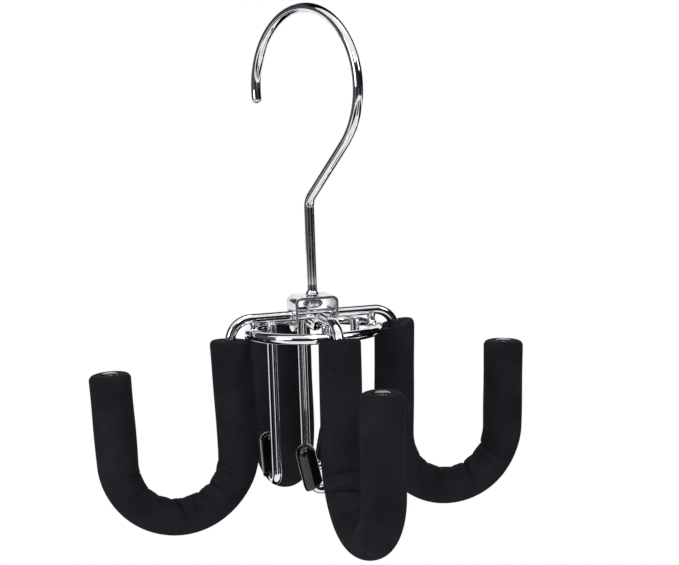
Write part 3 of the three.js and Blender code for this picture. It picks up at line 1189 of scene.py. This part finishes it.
@dataclass
class PaddedHookCap(Assembly):
    """The small cap on a padded hook's tip, seen in the middle of the foam's end."""

    side: Side
    shape: ArmShape = ArmShape()
    radius: float = 3.9
    bore: float = 2.7
    length: float = 12.0
    proud: float = 0.6
    crown: float = 1.8
    crown_rows: int = 14
    edge: float = 0.3
    floor_round: float = 0.4
    outer_rows: Span = (4.0, 3.0)
    sides: int = 48

    def build(self) -> None:
        """Builds and dresses the cap: a closed wall with a top crowned by crown (1 - cos a)^2."""
        line = self.shape.outer_line()
        line.lengths[-1] += self.proud
        total, radius, bore, edge = line.total, self.radius, self.bore, self.edge
        mouth = total - self.length
        a = quarter(self.crown_rows)
        crown = np.stack([total - self.crown * (1.0 - np.cos(a)) ** 2, radius * np.sin(a)], -1)[::-1]
        inside = bore_floor(total - self.proud - self.shape.tip_gap + edge, bore, self.floor_round)
        wall = [(mouth + edge, bore), (mouth, bore + edge), (mouth, radius - edge)]
        first, last = self.outer_rows
        outside = [(mouth + edge, radius), (mouth + first, radius), (total - last, radius)]
        pairs = np.concatenate([inside + wall + outside, crown])
        plane = Plane.upright(self.side.value)
        piece = swept(f"tip_cap_{self.side.label}", line, plane, pairs, self.sides)
        self.dress(piece, Slot.VINYL, f"padded_hook_cap_{self.side.label}")


@dataclass
class SmallHook(Assembly):
    """The thin J-shaped hook under an arm, with its dipped cap.

    The root is pairs. The lip's are measured from the cap's mouth, and from its bore or its outside.
    """

    side: Side
    wire: float = 4.4
    reach: float = 20.5
    top: float = -142.8
    shank: float = 71.8
    bend_radius: float = 4.5
    bend_turn: float = 168.0
    tip: float = 16.7
    tip_round: float = 1.2
    root: Pairs = ((0.0, 0.6), (0.0, 1.6), (0.15, 2.1), (0.5, 2.3), (1.2, 2.26))
    root_end: float = 2.2
    cap_radius: float = 4.6
    cap_length: float = 20.5
    cap_end: float = 18.8
    cap_floor: float = 1.8
    cap_fit: float = 0.3
    floor_round: float = 0.5
    lip_inside: Pairs = ((0.1, 0.1), (0.0, 0.5))
    lip_outside: Pairs = ((0.0, -0.5), (0.12, -0.15), (0.4, 0.0))
    cap_rows: int = 26
    cap_margin: float = 0.6
    crown_rows: int = 15
    row_step: float = 4.0
    row_turn: float = 3.0
    sides: int = 32
    cap_sides: int = 48

    def line(self, tip: float) -> CentreLine:
        """The J's centre line: down the shank, round the bend and up a tip of a length."""
        made = CentreLine((0.0, self.top), -90.0).straight(self.shank)
        return made.bend(self.bend_radius, self.bend_turn).straight(tip)

    def plane(self) -> Plane:
        """The upright plane of the J, across its arm."""
        return Plane.upright(self.side.value, self.reach, self.side.value - 90.0)

    def wire_piece(self) -> Piece:
        """The wire, with a welded root that spreads a little and a round tip inside the cap.

        Returns:
            The wire, undressed.
        """
        line, radius = self.line(self.tip), self.wire / 2.0
        root = np.array([*self.root, (self.root_end, radius)])
        end = rounded_end(line.total, radius, self.tip_round)
        pairs = merged_profile(line.stations(self.row_step, self.row_turn), radius, root, end)
        return swept(f"belt_hook_{self.side.label}", line, self.plane(), pairs, self.sides)

    def cap_piece(self) -> Piece:
        """The dipped cap: a wall round the wire with a round end and a rolled lip.

        Returns:
            The cap, undressed.
        """
        line = self.line(self.cap_end)
        total, radius, bore = line.total, self.cap_radius, self.wire / 2.0 + self.cap_fit
        mouth = total - self.cap_length
        inside = bore_floor(total - self.cap_floor, bore, self.floor_round)
        rows = np.linspace(total - radius - self.cap_margin, mouth + self.cap_margin, self.cap_rows)
        bore_wall = [(x, bore) for x in rows[1:]]
        lip = [(mouth + x, bore + y) for x, y in self.lip_inside]
        lip += [(mouth + x, radius + y) for x, y in self.lip_outside]
        outside = [(x, radius) for x in rows[::-1][1:]]
        crown = rounded_end(total, radius, radius, self.crown_rows)
        pairs = np.concatenate([inside + bore_wall + lip + outside, crown])
        return swept(f"belt_hook_cap_{self.side.label}", line, self.plane(), pairs, self.cap_sides)

    def build(self) -> None:
        """Builds and dresses the hook and its cap."""
        self.dress(self.wire_piece(), Slot.CHROME, f"small_hook_{self.side.label}")
        self.dress(self.cap_piece(), Slot.VINYL, f"small_hook_cap_{self.side.label}")


@dataclass(frozen=True)
class Flag:
    """A card: its direction, half its width and height in degrees, how pale it is, and its distance."""

    turn: float
    elevation: float
    wide: float
    tall: float
    grey: float = 0.0
    away: float = 1500.0


@dataclass(frozen=True)
class Lamp:
    """A soft lamp: its direction, distance, size and power."""

    turn: float
    elevation: float
    away: float
    size: float
    watts: float


FLAGS = {
    "left": Flag(-80.0, 13.5, 30.0, 20.5, 0.09),
    "centre_left": Flag(-17.5, 13.5, 32.5, 20.5, 0.04),
    "centre_right": Flag(47.5, 13.5, 32.5, 20.5, 0.02),
    "right": Flag(110.0, 13.5, 30.0, 20.5, 0.01),
    "low_left": Flag(-84.0, -16.5, 20.0, 9.5, 0.05, 650.0),
    "low_centre_left": Flag(-24.0, -16.5, 24.0, 9.5, 0.03, 650.0),
    "low_centre_right": Flag(29.0, -16.5, 14.0, 9.5, 0.03, 650.0),
    "low_right": Flag(99.0, -16.5, 42.0, 9.5, 0.0, 650.0),
    "rear_left": Flag(-130.0, 22.0, 20.0, 27.0, 0.05),
    "rear_above": Flag(180.0, 62.0, 60.0, 22.0),
    "rear_below": Flag(180.0, -65.0, 60.0, 24.0, 0.0, 300.0),
}
LAMPS = {
    "left": Lamp(-50.0, 18.0, 1200.0, 540.0, 3.4),
    "front": Lamp(0.0, 35.0, 1200.0, 220.0, 0.6),
    "right": Lamp(62.0, 30.0, 1200.0, 300.0, 1.2),
    "top": Lamp(20.0, 78.0, 1100.0, 420.0, 2.0),
}


@dataclass
class Studio:
    """White floor and surroundings, soft lamps, and dark flags that only reflections see."""

    floor_height: float = -480.0
    floor_half: float = 9000.0
    ambient: float = 0.66
    toward: float = -107.4
    hub: Triple = (0.0, 0.0, -140.0)
    flag_tint: Colour = (1.0, 1.08, 1.3)
    panel_points: int = 5

    def panel(
        self, name: str, centre: np.ndarray, across: np.ndarray, up: np.ndarray, finish: PaleStage
    ) -> Piece:
        """A flat panel: centre + x * across + y * up, with x and y from -1 to 1 on a small grid.

        Args:
            name: Name of the panel.
            centre: Its middle.
            across: Half its width, as a vector.
            up: Half its height, as a vector.
            finish: Its finish.

        Returns:
            The panel.
        """
        count = self.panel_points
        x, y = np.meshgrid(np.linspace(-1.0, 1.0, count), np.linspace(-1.0, 1.0, count))
        points = centre + x[..., None] * across + y[..., None] * up
        k = (np.arange(count - 1)[:, None] * count + np.arange(count - 1)[None, :]).ravel()
        faces = np.stack([k, k + 1, k + count + 1, k + count], -1).tolist()
        mesh = bpy.data.meshes.new(name)
        mesh.from_pydata((points.reshape(-1, 3) * METRES).tolist(), [], faces)
        piece = bpy.data.objects.new(name, mesh)
        bpy.context.scene.collection.objects.link(piece)
        mesh.materials.append(finish.make(name))
        return piece

    def floor(self) -> None:
        """The plain floor, well below the object, which hangs."""
        centre, half = np.array([0.0, 0.0, self.floor_height]), self.floor_half * np.eye(3)
        self.panel("floor", centre, half[0], half[1], PaleStage(seen_white=True))

    def direction(self, turn: float, elevation: float) -> tuple[np.ndarray, np.ndarray, np.ndarray]:
        """Out, across and up for something that faces the hub.

        Args:
            turn: Degrees about the swivel axis, from the photograph's side.
            elevation: Degrees above the level of the hub.

        Returns:
            The unit vector out to it, the level one across it and the one up its face.
        """
        a, e = math.radians(self.toward + turn), math.radians(elevation)
        out = np.array([math.cos(a) * math.cos(e), math.sin(a) * math.cos(e), math.sin(e)])
        across = np.array([-math.sin(a), math.cos(a), 0.0])
        return out, across, np.cross(out, across)

    def flag(self, name: str, card: Flag) -> None:
        """A dark card that faces the hub and shows in reflections alone.

        Args:
            name: Its name.
            card: Its sizes.
        """
        out, across, up = self.direction(card.turn, card.elevation)
        wide, tall = (card.away * math.tan(math.radians(half)) for half in (card.wide, card.tall))
        finish = PaleStage(tuple(card.grey * tint for tint in self.flag_tint))
        centre = np.array(self.hub) + out * card.away
        piece = self.panel("flag_" + name, centre, across * wide, up * tall, finish)
        piece.visible_camera = False
        piece.visible_diffuse = False
        piece.visible_shadow = False

    def lamp(self, name: str, kind: Lamp) -> None:
        """A square soft lamp that faces the hub.

        Args:
            name: Its name.
            kind: Its sizes.
        """
        light = bpy.data.lights.new("lamp_" + name, "AREA")
        light.shape, light.size, light.energy = "SQUARE", kind.size * METRES, kind.watts
        lamp = bpy.data.objects.new("lamp_" + name, light)
        bpy.context.scene.collection.objects.link(lamp)
        out = self.direction(kind.turn, kind.elevation)[0]
        lamp.location = Vector((np.array(self.hub) + out * kind.away) * METRES)
        lamp.rotation_euler = Vector(-out).to_track_quat("-Z", "Y").to_euler()

    def world(self) -> None:
        """White for the camera and for reflections, a little less for the light on the object."""
        sheet = NodeSheet("surroundings", world=True)
        colour = sheet.blend(sheet.seen_directly(), (self.ambient,) * 3, (1.0, 1.0, 1.0))
        bpy.context.scene.world = sheet.finished(Color=colour, Strength=1.0)

    def build(self) -> None:
        """Sets up the whole studio."""
        bpy.context.scene.view_settings.view_transform = "Standard"
        self.floor()
        self.world()
        for name, card in FLAGS.items():
            self.flag(name, card)
        for name, kind in LAMPS.items():
            self.lamp(name, kind)


@dataclass
class PhotoCamera:
    """The camera, at the photograph's angle: fitted to points of the object."""

    target: Triple = (12.97, -4.07, -125.56)
    back: Triple = (-0.2969, -0.9469, 0.1233)
    right: Triple = (0.9542, -0.2992, 0.0)
    roll: float = -0.0333
    distance: float = 702.0
    focal_pixels: float = 1491.6
    image_width: float = 679.0
    sensor: float = 36.0
    aside: float = -0.6
    clip: Span = (0.01, 100.0)

    def build(self) -> None:
        """Makes the camera: its axes are right and up turned by the roll, and back along the view."""
        back = Vector(self.back).normalized()
        right = Vector(self.right)
        right = (right - back * right.dot(back)).normalized()
        up = back.cross(right)
        c, s = math.cos(self.roll), math.sin(self.roll)
        x_axis = right * c + up * s
        y_axis = up * c - right * s
        place = (Vector(self.target) + x_axis * self.aside + back * self.distance) * METRES
        turned = Matrix((x_axis, y_axis, back)).transposed().to_4x4()
        data = bpy.data.cameras.new("photo_camera")
        data.sensor_width = self.sensor
        data.lens = self.focal_pixels * self.sensor / self.image_width
        data.clip_start, data.clip_end = self.clip
        camera = bpy.data.objects.new("photo_camera", data)
        bpy.context.scene.collection.objects.link(camera)
        camera.matrix_world = Matrix.Translation(place) @ turned
        bpy.context.scene.camera = camera


RIGHT_CREASES = (
    Crease(38.0, 0.5, 2.0, 50.0),
    Crease(56.0, 0.3, -2.0, 45.0),
    Crease(78.0, 0.35, 1.0, 55.0),
    Crease(96.0, 0.3, -3.0, 75.0),
    Crease(115.0, 0.95, -3.0, 85.0),
    Crease(132.0, 0.4, -4.0, 60.0),
    Crease(152.0, 0.6, -2.0, 85.0),
)
REAR_CREASES = (
    Crease(21.0, 0.6, 2.0, 60.0),
    Crease(55.0, 0.9, -3.0, 65.0),
    Crease(88.0, 0.4, 2.0, 50.0),
    Crease(118.0, 0.8, 4.0, 65.0),
    Crease(147.0, 0.5, -2.0, 55.0),
)
LEFT_CREASES = (
    Crease(15.0, 0.45, -2.0, 70.0),
    Crease(31.0, 0.5, -2.0, 85.0),
    Crease(47.0, 0.75, 3.0, 75.0),
    Crease(65.0, 0.65, 2.0, 60.0),
    Crease(87.0, 0.3, 2.0, 60.0),
    Crease(101.0, 1.5, 6.0, 80.0),
    Crease(121.0, 0.35, 2.0, 50.0),
    Crease(139.0, 0.25, 2.0, 45.0),
)
FRONT_CREASES = (
    Crease(12.0, 0.6, 1.0, 80.0),
    Crease(37.0, 0.8, -3.0, 80.0),
    Crease(70.0, 0.5, 2.0, 55.0),
    Crease(101.0, 0.9, -4.0, 60.0),
    Crease(134.0, 0.5, 3.0, 55.0),
)
SLEEVES = {
    Side.RIGHT: SleeveForm(11, 18.0, 0.75, 0.7, RIGHT_CREASES),
    Side.REAR: SleeveForm(12, 3.0, 0.8, 1.0, REAR_CREASES),
    Side.LEFT: SleeveForm(13, -6.0, 0.95, 1.15, LEFT_CREASES),
    Side.FRONT: SleeveForm(14, 22.0, 0.8, 1.0, FRONT_CREASES),
}


def main() -> None:
    """Builds the hanger piece by piece, then the studio and the camera."""
    logging.basicConfig(level=logging.INFO, format="%(name)s %(message)s")
    made = {slot: finish.make() for slot, finish in FINISHES.items()}
    assemblies = [HangingHook(made), SwivelBracket(made), CrossWires(made), BraceRing(made)]
    for side, form in SLEEVES.items():
        assemblies += [FoamSleeve(made, side, form), PaddedHookCap(made, side), SmallHook(made, side)]
    for assembly in assemblies:
        assembly.build()
    Studio().build()
    PhotoCamera().build()


if __name__ == "__main__":
    main()
